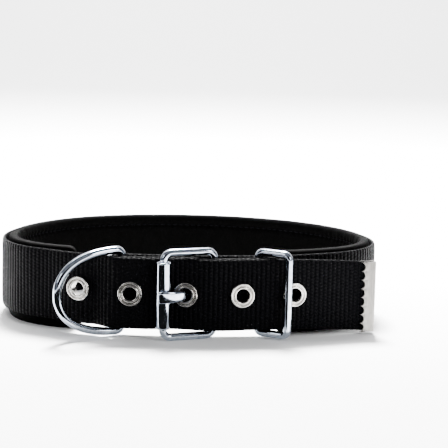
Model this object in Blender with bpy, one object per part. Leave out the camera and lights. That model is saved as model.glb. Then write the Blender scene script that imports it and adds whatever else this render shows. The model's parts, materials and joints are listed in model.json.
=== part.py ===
"""A padded dog collar, buckled and standing on its lower edge.

One long webbing strap starts behind the buckle, folds back round the bar of the D-ring, runs round
the outside of the foam pad, comes back along the front over its own first layers, and goes through
the D-ring, the buckle and the keeper loop to a toothed metal clamp.
Units are metres, +Z is up, the front with the buckle faces -Y, and the floor is z = 0.

Places along the strap are given as an arc length s along the neck curve, which is the outer face of
the pad. s = 0 is the buckle's heel bar and s grows to the right. A second number, the offset, is the
distance outwards from that curve.
"""
import math

import bpy
import bmesh
import numpy as np

# The loop in plan
LOOP_WIDTH = 0.160
LOOP_DEPTH = 0.104
HEEL_X = 0.0098

# The webbing strap
WEBBING_WIDTH = 0.030
WEBBING_THICKNESS = 0.0018
CLEARANCE = 0.0003
LAYER_GAP = 0.0013
SHORT_END = 0.0332
TAIL_LENGTH = 0.050
TAIL_BEND = 0.007
TAIL_TURN = math.radians(9.0)
TAIL_DROOP = 0.003
SLACK_LIFT = 0.0043
SLACK_AHEAD = 0.0030
SHORT_REST = 0.0020
LEVEL_BY_FOLD = 0.0093
RISE_START = 0.0360
RISE_MIDDLE = 0.0127
RISE_TOP = 0.0007
RISE_SHARE = 0.48
JOIN_STEP = 0.0010
CUT_SHARE = 0.45
DROOP_POWER = 1.5

# The foam pad
PAD_THICKNESS = 0.0058
PAD_RISE = 0.0012
PAD_FOOT = 0.0026
PAD_START = 0.0272
PAD_END = 0.0588
PAD_SIDE_ROLL = 0.93
PAD_ROLL_RISE = 0.45

# The D-ring
D_WIRE = 0.0035
D_PLAY = 0.0003
D_REACH = 0.0292
D_CORNER = 0.0025
D_FULLNESS = 2.2
D_BAR_PAST_EYELET = 0.0045
D_REST_ANGLE = math.radians(36.0)

# The roller buckle
BUCKLE_WIRE = 0.0032
BUCKLE_PLAY = 0.0011
BUCKLE_REACH = 0.0214
BUCKLE_CORNER = 0.0034
ROLLER_DIAMETER = 0.0061
ROLLER_LENGTH = 0.0280
PRONG_WIDTH = 0.0034
PRONG_TIP_WIDTH = 0.0050
PRONG_EYE = 0.0012
PRONG_THICKNESS = 0.0020
PRONG_EYE_START = math.radians(160)
PRONG_EYE_END = math.radians(-90)
PRONG_THICKENS = (0.37, 0.70)
PRONG_WIDENS = (0.66, 0.86)
PRONG_TIP_PAST = 0.30
PRONG_TIP_DROP = 0.35

# The prong up to its eyelet: way back as a share of PRONG_HOLE_BACK, rise in eye thicknesses
PRONG_SHANK = (
    (0.00, 0.0),
    (0.50, 0.4),
    (0.83, 1.9),
)

# The prong through its eyelet: way back as before, rise in prong thicknesses from the strap's middle
PRONG_THROUGH = (
    (1.00, -0.3),
    (1.09, 1.4),
)

# The keeper loop
KEEPER_WIRE = 0.0032
KEEPER_PLAY = 0.0005
KEEPER_REACH = 0.0145
KEEPER_CORNER = 0.0024
KEEPER_AT = 0.0182
KEEPER_ANGLE = math.radians(41.0)

# The eyelets
EYELETS = 5
PRONG_EYELET = 3
EYELET_SPACING = 0.022
EYELET_BORE = 0.0056
EYELET_WALL = 0.0006
EYELET_FLANGE = 0.0103
EYELET_HEIGHT = 0.0008
EYELET_BACK = 0.0006
EYELET_SEAT = 0.0004
EYELET_RIM_INSET = 0.8
EYELET_RIM_RISE = 0.6
EYELET_TOP_RING = 1.5
EYELET_MOUTH_RISE = 0.7
PRONG_HOLE_BACK = 0.0113

# The end clamp
CLAMP_LENGTH = 0.0072
CLAMP_SHEET = 0.0009
CLAMP_NOTCHES = 8
CLAMP_NOTCH_SHARE = 0.40

# How finely curves are cut
FRONT_STATION = 0.0024
BACK_STATION = 0.0036
PAD_STATION = 0.0048
WIRE_SIDES = 10
ROUND_SIDES = 20
NOTCH_SIDES = 12
FOLD_STEPS = 9
ROLL_STEPS = 7
EYE_STEPS = 11
PROBE = 0.0005
NECK_STEPS = 60
SHARP_ANGLE = math.radians(40)

# The neck curve: control points of a closed smooth curve, as shares of the loop's width and depth
NECK_CURVE = (
    (-0.366, -0.404),
    (-0.166, -0.471),
    (0.084, -0.481),
    (0.297, -0.423),
    (0.472, -0.288),
    (0.528, -0.038),
    (0.447, 0.269),
    (0.247, 0.500),
    (-0.016, 0.577),
    (-0.291, 0.500),
    (-0.466, 0.250),
    (-0.528, -0.058),
    (-0.478, -0.288),
)

# Sizes that follow from the ones above
D_BAR_BACK = PRONG_HOLE_BACK + (PRONG_EYELET - 2) * EYELET_SPACING + D_BAR_PAST_EYELET
HALF_WEB = WEBBING_THICKNESS / 2
MID_HEIGHT = WEBBING_WIDTH / 2 + BUCKLE_PLAY + BUCKLE_WIRE
PAD_HEIGHT = MID_HEIGHT + WEBBING_WIDTH / 2 + PAD_RISE
INNER_PLY = CLEARANCE + HALF_WEB
INNER_FACE = CLEARANCE + WEBBING_THICKNESS
LAYER_STEP = WEBBING_THICKNESS + LAYER_GAP
FOLD_RADIUS = D_WIRE / 2 + CLEARANCE + HALF_WEB
D_BAR_OFFSET = INNER_PLY + FOLD_RADIUS
EYE_RADIUS = BUCKLE_WIRE / 2 + CLEARANCE + PRONG_EYE / 2
HEEL_OFFSET = INNER_FACE + CLEARANCE + EYE_RADIUS + PRONG_EYE / 2
KEEPER_OFFSET = INNER_FACE + CLEARANCE + KEEPER_WIRE / 2
LIFT = INNER_PLY + SLACK_LIFT
NOSE_OFFSET = LIFT + LAYER_STEP + HALF_WEB + CLEARANCE + ROLLER_DIAMETER / 2
NOSE_BACK = math.sqrt(BUCKLE_REACH ** 2 - (NOSE_OFFSET - HEEL_OFFSET) ** 2)
CUT_REACH = HALF_WEB + LAYER_GAP * CUT_SHARE


def neck_points():
    """Closed cubic B-spline through NECK_CURVE: a dense polyline, its running length and normals."""
    control = np.array(NECK_CURVE) * (LOOP_WIDTH, LOOP_DEPTH)
    t = np.arange(NECK_STEPS)[:, None] / NECK_STEPS
    weights = ((1 - t) ** 3 / 6, (3 * t ** 3 - 6 * t ** 2 + 4) / 6,
               (-3 * t ** 3 + 3 * t ** 2 + 3 * t + 1) / 6, t ** 3 / 6)
    pieces = []
    for i in range(len(control)):
        pieces.append(sum(w * control[(i + k) % len(control)] for k, w in enumerate(weights)))
    points = np.vstack(pieces)
    steps = np.linalg.norm(np.roll(points, -1, axis=0) - points, axis=1)
    length = np.concatenate(([0.0], np.cumsum(steps)))
    tangent = np.roll(points, -1, axis=0) - np.roll(points, 1, axis=0)
    tangent /= np.linalg.norm(tangent, axis=1)[:, None]
    normals = np.stack((tangent[:, 1], -tangent[:, 0]), axis=1)
    front = np.where(points[:, 1] < 0, np.abs(points[:, 0] - HEEL_X), 1.0)
    return points, length, normals, length[np.argmin(front)]


POINTS, RUNNING, NORMALS, HEEL_LENGTH = neck_points()
LOOP_LENGTH = RUNNING[-1]


def at(s, offset):
    """Plan points at arc lengths s from the heel bar, moved outwards by the offsets."""
    where = (np.atleast_1d(s) + HEEL_LENGTH) % LOOP_LENGTH
    closed = np.vstack((POINTS, POINTS[:1]))
    normals = np.vstack((NORMALS, NORMALS[:1]))
    point = np.stack([np.interp(where, RUNNING, closed[:, k]) for k in (0, 1)], axis=1)
    normal = np.stack([np.interp(where, RUNNING, normals[:, k]) for k in (0, 1)], axis=1)
    return point + normal * np.atleast_1d(offset)[:, None]


def eased(s, knots):
    """Value that rests at each (s, value) knot and eases from one to the next with a half cosine."""
    places, values = np.array(knots).T
    k = np.clip(np.searchsorted(places, s) - 1, 0, len(places) - 2)
    share = np.clip((s - places[k]) / (places[k + 1] - places[k]), 0, 1)
    return values[k] + (values[k + 1] - values[k]) * (1 - np.cos(np.pi * share)) / 2


def middle_ply(s):
    """Offset of the middle layer, which passes over the D-ring's, the buckle's and the keeper's bars."""
    over_heel = HEEL_OFFSET + BUCKLE_WIRE / 2 + CLEARANCE + HALF_WEB
    over_keeper = KEEPER_OFFSET + KEEPER_WIRE / 2 + CLEARANCE + HALF_WEB
    flat = INNER_PLY + WEBBING_THICKNESS + CLEARANCE
    over_bar = D_BAR_OFFSET + FOLD_RADIUS
    return eased(s, ((-D_BAR_BACK, over_bar), (-D_BAR_BACK + LEVEL_BY_FOLD, over_bar),
                     (-NOSE_BACK + SLACK_AHEAD, LIFT), (0.0, over_heel), (KEEPER_AT, over_keeper),
                     (SHORT_END - SHORT_REST, flat), (SHORT_END, flat)))


def outer_ply(s):
    """Offset of the outer layer: on the pad at the left, then over the fold and the middle layer."""
    over_fold = D_BAR_OFFSET + FOLD_RADIUS + LAYER_STEP
    rising = eased(s, ((-D_BAR_BACK - RISE_START, INNER_PLY),
                       (-D_BAR_BACK - RISE_MIDDLE, over_fold * RISE_SHARE),
                       (-D_BAR_BACK - RISE_TOP, over_fold), (-D_BAR_BACK, over_fold)))
    return np.where(s < -D_BAR_BACK, rising, middle_ply(s) + LAYER_STEP)


def outer_route(s):
    """3-D centre line of the outer layer, whose tail leaves the curve straight and droops."""
    s = np.atleast_1d(s)
    leave = np.array([KEEPER_AT - PROBE, KEEPER_AT])
    start = at(leave, outer_ply(leave))
    way = (start[1] - start[0]) / np.linalg.norm(start[1] - start[0])
    inwards = np.array([-way[1], way[0]])
    past = np.clip(s - KEEPER_AT, 0, None)
    bent = np.minimum(past, TAIL_BEND)
    drift = math.tan(TAIL_TURN) * (bent ** 2 / (2 * TAIL_BEND) + past - bent)
    kept = np.minimum(s, KEEPER_AT)
    plan = at(kept, outer_ply(kept)) + past[:, None] * way + drift[:, None] * inwards
    droop = TAIL_DROOP * np.clip(past / TAIL_LENGTH, 0, 1) ** DROOP_POWER
    return np.column_stack((plan, MID_HEIGHT - droop))


def level_route(s, offset):
    """3-D centre line at the strap's height, at arc lengths s and offsets."""
    return np.column_stack((at(s, offset), np.full(len(np.atleast_1d(s)), MID_HEIGHT)))


def stations(start, end, step):
    """Evenly spaced arc lengths from start to end, both included."""
    return np.linspace(start, end, max(2, int(round(abs(end - start) / step)) + 1))


def side_of(route):
    """Unit plan normals on the right-hand side of a route."""
    way = np.gradient(route, axis=0)[:, :2]
    way /= np.linalg.norm(way, axis=1)[:, None]
    return np.stack((way[:, 1], -way[:, 0], np.zeros(len(way))), axis=1)


def material(name, color, metallic, roughness):
    """A Principled material with one colour."""
    mat = bpy.data.materials.new(name)
    mat.use_nodes = True
    shader = mat.node_tree.nodes["Principled BSDF"]
    shader.inputs["Base Color"].default_value = (*color, 1.0)
    shader.inputs["Metallic"].default_value = metallic
    shader.inputs["Roughness"].default_value = roughness
    return mat


def add_object(name, verts, faces, mat, origin=(0.0, 0.0, 0.0)):
    """Make one object from points and faces, its normals outwards, its origin where it turns."""
    mesh = bpy.data.meshes.new(name)
    mesh.from_pydata((np.asarray(verts) - origin).tolist(), [], faces)
    bm = bmesh.new()
    bm.from_mesh(mesh)
    bmesh.ops.recalc_face_normals(bm, faces=bm.faces)
    bm.to_mesh(mesh)
    bm.free()
    mesh.shade_smooth()
    mesh.set_sharp_from_angle(angle=SHARP_ANGLE)
    obj = bpy.data.objects.new(name, mesh)
    obj.location = origin
    bpy.context.scene.collection.objects.link(obj)
    if mat is None:
        obj.hide_render = True
        obj.display_type = "WIRE"
    else:
        mesh.materials.append(mat)
    return obj


def skin(rings, closed):
    """Points and quads over a row of rings; open rows get a cap at each end."""
    rows, sides = rings.shape[:2]
    faces = []
    for i in range(rows if closed else rows - 1):
        j = (i + 1) % rows
        for k in range(sides):
            m = (k + 1) % sides
            faces.append((i * sides + k, i * sides + m, j * sides + m, j * sides + k))
    if not closed:
        faces.append(tuple(range(sides)))
        faces.append(tuple((rows - 1) * sides + k for k in range(sides)))
    return rings.reshape(-1, 3), faces


def along(route, thickness, height):
    """Rings of a flat strip: four corners at each station, thickness across and height upwards."""
    side = side_of(route)
    thickness = np.broadcast_to(thickness, len(route))[:, None]
    height = np.broadcast_to(height, len(route))[:, None]
    up = np.array([0.0, 0.0, 1.0])
    corners = []
    for across, rise in ((-0.5, -0.5), (0.5, -0.5), (0.5, 0.5), (-0.5, 0.5)):
        corners.append(route + side * thickness * across + up * height * rise)
    return np.stack(corners, axis=1)


def joined(parts):
    """Several (points, faces) shapes as one."""
    verts, faces, base = [], [], 0
    for points, polygons in parts:
        verts.append(points)
        faces.extend(tuple(base + i for i in face) for face in polygons)
        base += len(points)
    return np.vstack(verts), faces


def wire(outline, axis, way, radius):
    """Round wire along a closed outline of (reach, height) points in the upright plane through way."""
    flat = np.roll(outline, -1, axis=0) - np.roll(outline, 1, axis=0)
    flat /= np.linalg.norm(flat, axis=1)[:, None]
    outward = np.stack((flat[:, 1], -flat[:, 0]), axis=1)
    way = np.array([way[0], way[1], 0.0])
    up = np.array([0.0, 0.0, 1.0])
    cross = np.cross(way, up)
    centre = axis + outline[:, :1] * way + outline[:, 1:] * up
    spread = outward[:, :1] * way + outward[:, 1:] * up
    turn = np.arange(WIRE_SIDES) * 2 * math.pi / WIRE_SIDES
    ring = np.cos(turn)[None, :, None] * spread[:, None] + np.sin(turn)[None, :, None] * cross
    return skin(centre[:, None] + radius * ring, True)


def rounded_frame(reach, height, corner, corner_steps=5):
    """Closed outline of a rectangle with round corners, from reach 0 to reach, centred in height."""
    points = []
    turns = np.linspace(0, math.pi / 2, corner_steps)
    for cx, cz, start in ((reach - corner, height / 2 - corner, 0.0),
                          (corner, height / 2 - corner, math.pi / 2),
                          (corner, -height / 2 + corner, math.pi),
                          (reach - corner, -height / 2 + corner, 1.5 * math.pi)):
        for turn in turns:
            points.append((cx + corner * math.cos(start + turn), cz + corner * math.sin(start + turn)))
    return np.array(points)


def d_outline(reach, height, corner, bow_steps=28, corner_steps=4):
    """Closed outline of a D: a straight bar at reach 0 and a full bow out to reach."""
    fullness = 2 / D_FULLNESS
    points = []
    for turn in np.linspace(math.pi, math.pi / 2, corner_steps):
        points.append((corner + corner * math.cos(turn), height / 2 - corner + corner * math.sin(turn)))
    for turn in np.linspace(math.pi / 2, -math.pi / 2, bow_steps)[1:-1]:
        out = abs(math.cos(turn)) ** fullness
        rise = math.copysign(abs(math.sin(turn)) ** fullness, turn)
        points.append((corner + (reach - corner) * out, rise * height / 2))
    for turn in np.linspace(-math.pi / 2, -math.pi, corner_steps):
        points.append((corner + corner * math.cos(turn), corner - height / 2 + corner * math.sin(turn)))
    return np.array(points)


def lathe(profile, centre, axis, sides):
    """Solid turned from a closed profile of (radius, height) points about an axis through centre."""
    axis = np.asarray(axis) / np.linalg.norm(axis)
    across = np.cross(axis, (0.0, 0.0, 1.0))
    if np.linalg.norm(across) < 0.5:
        across = np.array([1.0, 0.0, 0.0])
    across /= np.linalg.norm(across)
    third = np.cross(axis, across)
    turn = np.arange(sides) * 2 * math.pi / sides
    radial = np.cos(turn)[:, None] * across + np.sin(turn)[:, None] * third
    profile = np.asarray(profile)
    rings = centre + radial[:, None] * profile[None, :, :1] + profile[None, :, 1:] * axis
    return skin(rings, True)


def cylinder(radius, half_length, centre, axis, sides):
    """A capped cylinder, used for cutting holes."""
    axis = np.asarray(axis) / np.linalg.norm(axis)
    across = np.cross(axis, (0.0, 0.0, 1.0))
    across /= np.linalg.norm(across)
    third = np.cross(axis, across)
    turn = np.arange(sides) * 2 * math.pi / sides
    ring = radius * (np.cos(turn)[:, None] * across + np.sin(turn)[:, None] * third)
    return skin(np.stack((centre + ring - axis * half_length, centre + ring + axis * half_length)), False)


def cut(obj, name, shape):
    """Cut a shape out of an object with a Boolean."""
    cutter = add_object(name, *shape, None)
    modifier = obj.modifiers.new("Cut", "BOOLEAN")
    modifier.operation = "DIFFERENCE"
    modifier.solver = "EXACT"
    modifier.object = cutter


def eyelet_frames():
    """Number, centre and outward direction of each eyelet on the outer layer."""
    rows = []
    for number in range(1, EYELETS + 1):
        s = -PRONG_HOLE_BACK + (number - PRONG_EYELET) * EYELET_SPACING
        near = outer_route(np.array([s - PROBE, s, s + PROBE]))
        rows.append((number, near[1], side_of(near)[1]))
    return rows


def build_strap(mat):
    """The webbing strap, pierced at the eyelets and slotted where the prong passes its middle layer."""
    middle = stations(SHORT_END, -D_BAR_BACK, FRONT_STATION)
    turns = np.linspace(-math.pi / 2, -1.5 * math.pi, FOLD_STEPS)[1:-1]
    fold_s = -D_BAR_BACK + FOLD_RADIUS * np.cos(turns)
    fold_offset = D_BAR_OFFSET - FOLD_RADIUS * np.sin(turns)
    leave = D_BAR_BACK + RISE_START
    inner = stations(-D_BAR_BACK, LOOP_LENGTH - leave - JOIN_STEP, BACK_STATION)
    outer = stations(-leave + JOIN_STEP, KEEPER_AT + TAIL_LENGTH, FRONT_STATION)
    route = np.vstack((level_route(middle, middle_ply(middle)),
                       level_route(fold_s, fold_offset),
                       level_route(inner, np.full(len(inner), INNER_PLY)),
                       outer_route(outer)))
    ribbon = skin(along(route, WEBBING_THICKNESS, WEBBING_WIDTH), False)
    strap = add_object("webbing_strap", *ribbon, mat)
    hole = EYELET_BORE / 2 + EYELET_WALL + CLEARANCE
    holes = []
    for number, centre, axis in eyelet_frames():
        holes.append(cylinder(hole, CUT_REACH, centre, axis, ROUND_SIDES))
    slot = stations(-PRONG_HOLE_BACK - hole, EYE_RADIUS + PRONG_EYE / 2 + CLEARANCE, FRONT_STATION)
    slot_route = level_route(slot, middle_ply(slot))
    slot_height = PRONG_WIDTH + 4 * CLEARANCE
    holes.append(skin(along(slot_route, 2 * CUT_REACH, slot_height), False))
    cut(strap, "strap_cutter", joined(holes))


def build_pad(mat):
    """The foam pad inside the loop: flat faces, round top rim, and a narrow flat foot on the floor."""
    s = stations(PAD_START, LOOP_LENGTH - PAD_END, PAD_STATION)
    inner = at(s, np.full(len(s), -PAD_THICKNESS))
    outer = at(s, np.zeros(len(s)))
    roll = PAD_THICKNESS / 2
    foot = PAD_FOOT / PAD_THICKNESS / 2
    profile = [(0.5 - foot, 0.0), (0.5 + foot, 0.0), (PAD_SIDE_ROLL, roll * PAD_ROLL_RISE), (1.0, roll)]
    for turn in np.linspace(0, math.pi, ROLL_STEPS):
        profile.append((0.5 + 0.5 * math.cos(turn), PAD_HEIGHT - roll + roll * math.sin(turn)))
    profile += [(0.0, roll), (1 - PAD_SIDE_ROLL, roll * PAD_ROLL_RISE)]
    rings = []
    for across, height in profile:
        plan = inner + (outer - inner) * across
        rings.append(np.column_stack((plan, np.full(len(s), height))))
    add_object("neck_pad", *skin(np.stack(rings, axis=1), False), mat)


def plan_way(s, angle):
    """Unit plan direction at arc length s: angle 0 points along the strap, a right angle outwards."""
    near = at(np.array([s - PROBE, s + PROBE]), np.zeros(2))
    tangent = (near[1] - near[0]) / np.linalg.norm(near[1] - near[0])
    normal = np.array([tangent[1], -tangent[0]])
    return tangent * math.cos(angle) + normal * math.sin(angle)


def upright(s, offset):
    """3-D point at the strap's mid height."""
    return level_route(np.array([s]), np.array([offset]))[0]


def build_d_ring(mat):
    """The D-ring, whose bar lies in the strap's fold and whose bow stands over the strap at the left."""
    axis = upright(-D_BAR_BACK, D_BAR_OFFSET)
    height = WEBBING_WIDTH + 2 * D_PLAY + D_WIRE
    way = plan_way(-D_BAR_BACK, math.pi - D_REST_ANGLE)
    shape = wire(d_outline(D_REACH, height, D_CORNER), axis, way, D_WIRE / 2)
    add_object("d_ring", *shape, mat, axis)


def build_buckle(frame_mat, roller_mat, prong_mat):
    """The buckle's wire frame, the roller on its nose bar and the prong on its heel bar."""
    heel = upright(0.0, HEEL_OFFSET)
    nose = upright(-NOSE_BACK, NOSE_OFFSET)
    way = (nose - heel)[:2]
    reach = np.linalg.norm(way)
    height = WEBBING_WIDTH + 2 * BUCKLE_PLAY + BUCKLE_WIRE
    frame = wire(rounded_frame(reach, height, BUCKLE_CORNER), heel, way / reach, BUCKLE_WIRE / 2)
    add_object("buckle_frame", *frame, frame_mat, heel)
    bore = BUCKLE_WIRE / 2 + CLEARANCE
    half = ROLLER_LENGTH / 2
    profile = ((bore, -half), (ROLLER_DIAMETER / 2, -half), (ROLLER_DIAMETER / 2, half), (bore, half))
    add_object("buckle_roller", *lathe(profile, nose, (0, 0, 1), ROUND_SIDES), roller_mat, nose)
    add_object("buckle_prong", *prong_shape(), prong_mat, heel)


def prong_shape():
    """The prong: an eye round the heel bar, a crank up through the third eyelet, and a tip on the roller."""
    turns = np.linspace(PRONG_EYE_START, PRONG_EYE_END, EYE_STEPS)
    eye = np.stack((EYE_RADIUS * np.cos(turns), HEEL_OFFSET + EYE_RADIUS * np.sin(turns)), axis=1)
    low = HEEL_OFFSET - EYE_RADIUS
    hole = outer_ply(np.array([-PRONG_HOLE_BACK]))[0]
    over = NOSE_OFFSET + ROLLER_DIAMETER / 2 + CLEARANCE + PRONG_THICKNESS / 2
    knots = [(-PRONG_HOLE_BACK * back, low + PRONG_EYE * rise) for back, rise in PRONG_SHANK]
    for back, rise in PRONG_THROUGH:
        knots.append((-PRONG_HOLE_BACK * back, hole + PRONG_THICKNESS * rise))
    knots.append((-(PRONG_HOLE_BACK + NOSE_BACK) / 2, (hole + over * 3) / 4))
    knots.append((-NOSE_BACK, over))
    tip = -NOSE_BACK - ROLLER_DIAMETER * PRONG_TIP_PAST
    knots.append((tip, over - PRONG_THICKNESS * PRONG_TIP_DROP))
    knots = np.array(knots)
    ends = np.vstack((2 * knots[0] - knots[1], knots, 2 * knots[-1] - knots[-2]))
    shank = []
    for i in range(1, len(ends) - 2):
        for t in np.arange(4) / 4:
            a, b, c, d = ends[i - 1:i + 3]
            shank.append(0.5 * (2 * b + (c - a) * t + (2 * a - 5 * b + 4 * c - d) * t ** 2
                                + (3 * b - a - 3 * c + d) * t ** 3))
    path = np.vstack((eye[:-1], shank, knots[-1:]))
    share = np.arange(len(path)) / len(path)
    thickness = np.interp(share, PRONG_THICKENS, (PRONG_EYE, PRONG_THICKNESS))
    width = np.interp(share, PRONG_WIDENS, (PRONG_WIDTH, PRONG_TIP_WIDTH))
    return skin(along(level_route(path[:, 0], path[:, 1]), thickness, width), False)


def build_keeper(mat):
    """The keeper loop: a wire ring whose back bar lies under the strap and front bar over it."""
    axis = upright(KEEPER_AT, KEEPER_OFFSET)
    height = WEBBING_WIDTH + 2 * KEEPER_PLAY + KEEPER_WIRE
    outline = rounded_frame(KEEPER_REACH, height, KEEPER_CORNER)
    shape = wire(outline, axis, plan_way(KEEPER_AT, KEEPER_ANGLE), KEEPER_WIRE / 2)
    add_object("keeper_loop", *shape, mat, axis)


def build_eyelets(mat):
    """Five two-part eyelets through the outer layer, all from one turned profile."""
    face = HALF_WEB + EYELET_SEAT
    bore = EYELET_BORE / 2
    rim = EYELET_FLANGE / 2
    barrel = bore + EYELET_WALL
    back = ((bore, -face - EYELET_BACK), (rim, -face - EYELET_BACK), (rim, -face), (barrel, -face))
    front = ((barrel, face), (rim, face),
             (rim - EYELET_HEIGHT * EYELET_RIM_INSET, face + EYELET_HEIGHT * EYELET_RIM_RISE),
             (bore + EYELET_WALL * EYELET_TOP_RING, face + EYELET_HEIGHT),
             (bore, face + EYELET_HEIGHT * EYELET_MOUTH_RISE))
    profile = back + front
    for number, centre, axis in eyelet_frames():
        shape = lathe(profile, centre, axis, ROUND_SIDES)
        add_object(f"eyelet_{number}", *shape, mat, centre)


def build_clamp(mat):
    """The end clamp: one sheet folded over the tail's end, with round notches along its free edges."""
    end = KEEPER_AT + TAIL_LENGTH
    near = outer_route(np.array([end - PROBE, end]))
    way = (near[1] - near[0]) / np.linalg.norm(near[1] - near[0])
    way[2] = 0.0
    side = np.array([way[1], -way[0], 0.0])
    inner = HALF_WEB + CLEARANCE
    outer = inner + CLAMP_SHEET
    back = CLAMP_LENGTH - CLAMP_SHEET - CLEARANCE
    outline = [(-back, -inner), (CLEARANCE, -inner), (CLEARANCE, inner), (-back, inner), (-back, outer)]
    for turn in np.linspace(math.pi / 2, -math.pi / 2, ROLL_STEPS):
        outline.append((CLEARANCE + CLAMP_SHEET * math.cos(turn), outer * math.sin(turn)))
    outline.append((-back, -outer))
    plan = np.array(outline)
    base = near[1] + plan[:, :1] * way + plan[:, 1:] * side
    half = np.array([0.0, 0.0, WEBBING_WIDTH / 2])
    clamp = add_object("end_clamp", *skin(np.stack((base - half, base + half)), False), mat, near[1])
    pitch = WEBBING_WIDTH / CLAMP_NOTCHES
    notches = []
    for i in range(CLAMP_NOTCHES):
        rise = np.array([0.0, 0.0, (i + 0.5) * pitch - WEBBING_WIDTH / 2])
        centre = near[1] - way * back + rise
        notches.append(cylinder(pitch * CLAMP_NOTCH_SHARE, outer * 2, centre, side, NOTCH_SIDES))
    cut(clamp, "clamp_cutter", joined(notches))


def centre_on_floor():
    """Move everything so that the origin is under the middle of the collar's box, on the floor."""
    corners = []
    for obj in bpy.data.objects:
        if not obj.hide_render:
            points = np.array([v.co for v in obj.data.vertices]) + np.array(obj.location)
            corners += [points.min(axis=0), points.max(axis=0)]
    low, high = np.min(corners, axis=0), np.max(corners, axis=0)
    shift = np.array([(low[0] + high[0]) / 2, (low[1] + high[1]) / 2, low[2]])
    for obj in bpy.data.objects:
        obj.location = np.array(obj.location) - shift


def main():
    """Clear the scene and build every piece of the collar."""
    for obj in list(bpy.data.objects):
        bpy.data.objects.remove(obj, do_unlink=True)
    nylon = material("Ribbed nylon webbing", (0.012, 0.013, 0.017), 0.0, 0.75)
    foam = material("Fabric covered foam", (0.010, 0.010, 0.012), 0.0, 0.85)
    chrome = material("Chromed steel", (0.80, 0.81, 0.83), 1.0, 0.12)
    nickel = material("Nickel plated brass", (0.62, 0.62, 0.62), 1.0, 0.28)
    satin = material("Satin nickel sheet", (0.66, 0.65, 0.63), 1.0, 0.38)
    build_pad(foam)
    build_strap(nylon)
    build_eyelets(nickel)
    build_d_ring(chrome)
    build_buckle(chrome, chrome, chrome)
    build_keeper(chrome)
    build_clamp(satin)
    centre_on_floor()


main()
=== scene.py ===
# %% [markdown]
# A padded dog collar stands on a pale table, buckled. The solid parts come ready made as a fixed frame.
# This script dresses each of them: woven webbing, a stitched foam pad, polished wire and small pressed
# metal parts. Every piece is a surface worked out from a formula, so its shape can be read in the code.

# %% Load the frame
import json
import math

import bpy
import numpy as np
from mathutils import Matrix, Vector


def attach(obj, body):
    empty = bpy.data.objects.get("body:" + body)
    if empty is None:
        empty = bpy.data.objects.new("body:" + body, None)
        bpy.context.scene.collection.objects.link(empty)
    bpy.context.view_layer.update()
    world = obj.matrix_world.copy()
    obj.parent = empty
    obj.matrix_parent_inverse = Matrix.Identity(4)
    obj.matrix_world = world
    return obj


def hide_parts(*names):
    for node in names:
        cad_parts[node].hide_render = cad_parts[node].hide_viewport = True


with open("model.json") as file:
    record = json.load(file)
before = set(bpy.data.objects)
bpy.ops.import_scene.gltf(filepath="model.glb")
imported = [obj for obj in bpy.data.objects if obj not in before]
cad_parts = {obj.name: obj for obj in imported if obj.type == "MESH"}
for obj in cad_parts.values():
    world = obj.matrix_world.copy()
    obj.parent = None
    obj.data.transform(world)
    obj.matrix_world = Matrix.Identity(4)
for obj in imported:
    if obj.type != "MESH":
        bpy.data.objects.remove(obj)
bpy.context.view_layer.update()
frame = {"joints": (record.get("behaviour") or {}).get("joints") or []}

# %% [markdown]
# A real collar is cut, folded and riveted to sizes, so the script starts from the same list: widths,
# thicknesses, wire gauges and where each bar sits along the strap. Sizes could be typed in where they
# are used, but named once they keep the pieces in step, as one pattern does on a workbench.

# %% Sizes of the real collar, in metres
LOOP_WIDTH, LOOP_DEPTH = 0.160, 0.104
HEEL_X = 0.0098
WEBBING_WIDTH, WEBBING_THICKNESS = 0.030, 0.0018
CLEARANCE, LAYER_GAP = 0.0003, 0.0013
SHORT_END = 0.0332
TAIL_LENGTH, TAIL_BEND, TAIL_DROOP = 0.050, 0.007, 0.003
TAIL_TURN = math.radians(9.0)
SLACK_LIFT = 0.0043
PAD_THICKNESS, PAD_RISE = 0.0058, 0.0012
PAD_START, PAD_END = 0.0272, 0.0588
D_WIRE, D_PLAY, D_REACH, D_CORNER = 0.0035, 0.0003, 0.0292, 0.0025
D_BAR_BACK, D_REST_ANGLE = 0.0378, math.radians(36.0)
BUCKLE_WIRE, BUCKLE_PLAY, BUCKLE_REACH, BUCKLE_CORNER = 0.0032, 0.0011, 0.0214, 0.0034
ROLLER_DIAMETER, ROLLER_LENGTH = 0.0061, 0.0280
PRONG_WIDTH, PRONG_TIP_WIDTH, PRONG_EYE, PRONG_THICKNESS = 0.0034, 0.0050, 0.0012, 0.0020
KEEPER_WIRE, KEEPER_PLAY, KEEPER_REACH, KEEPER_CORNER = 0.0032, 0.0005, 0.0145, 0.0024
KEEPER_AT, KEEPER_ANGLE = 0.0182, math.radians(41.0)
EYELET_SPACING, EYELET_BORE, EYELET_WALL = 0.022, 0.0056, 0.0006
EYELET_FLANGE, EYELET_HEIGHT, EYELET_BACK, EYELET_SEAT = 0.0103, 0.0008, 0.0006, 0.0004
PRONG_HOLE_BACK = 0.0113
CLAMP_LENGTH, CLAMP_SHEET, CLAMP_NOTCHES = 0.0072, 0.0009, 8
EYELET_COUNT, PRONG_EYELET = 5, 3
RIB_PITCH, BEAD_PITCH_MM = 0.0020, 1.45

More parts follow.
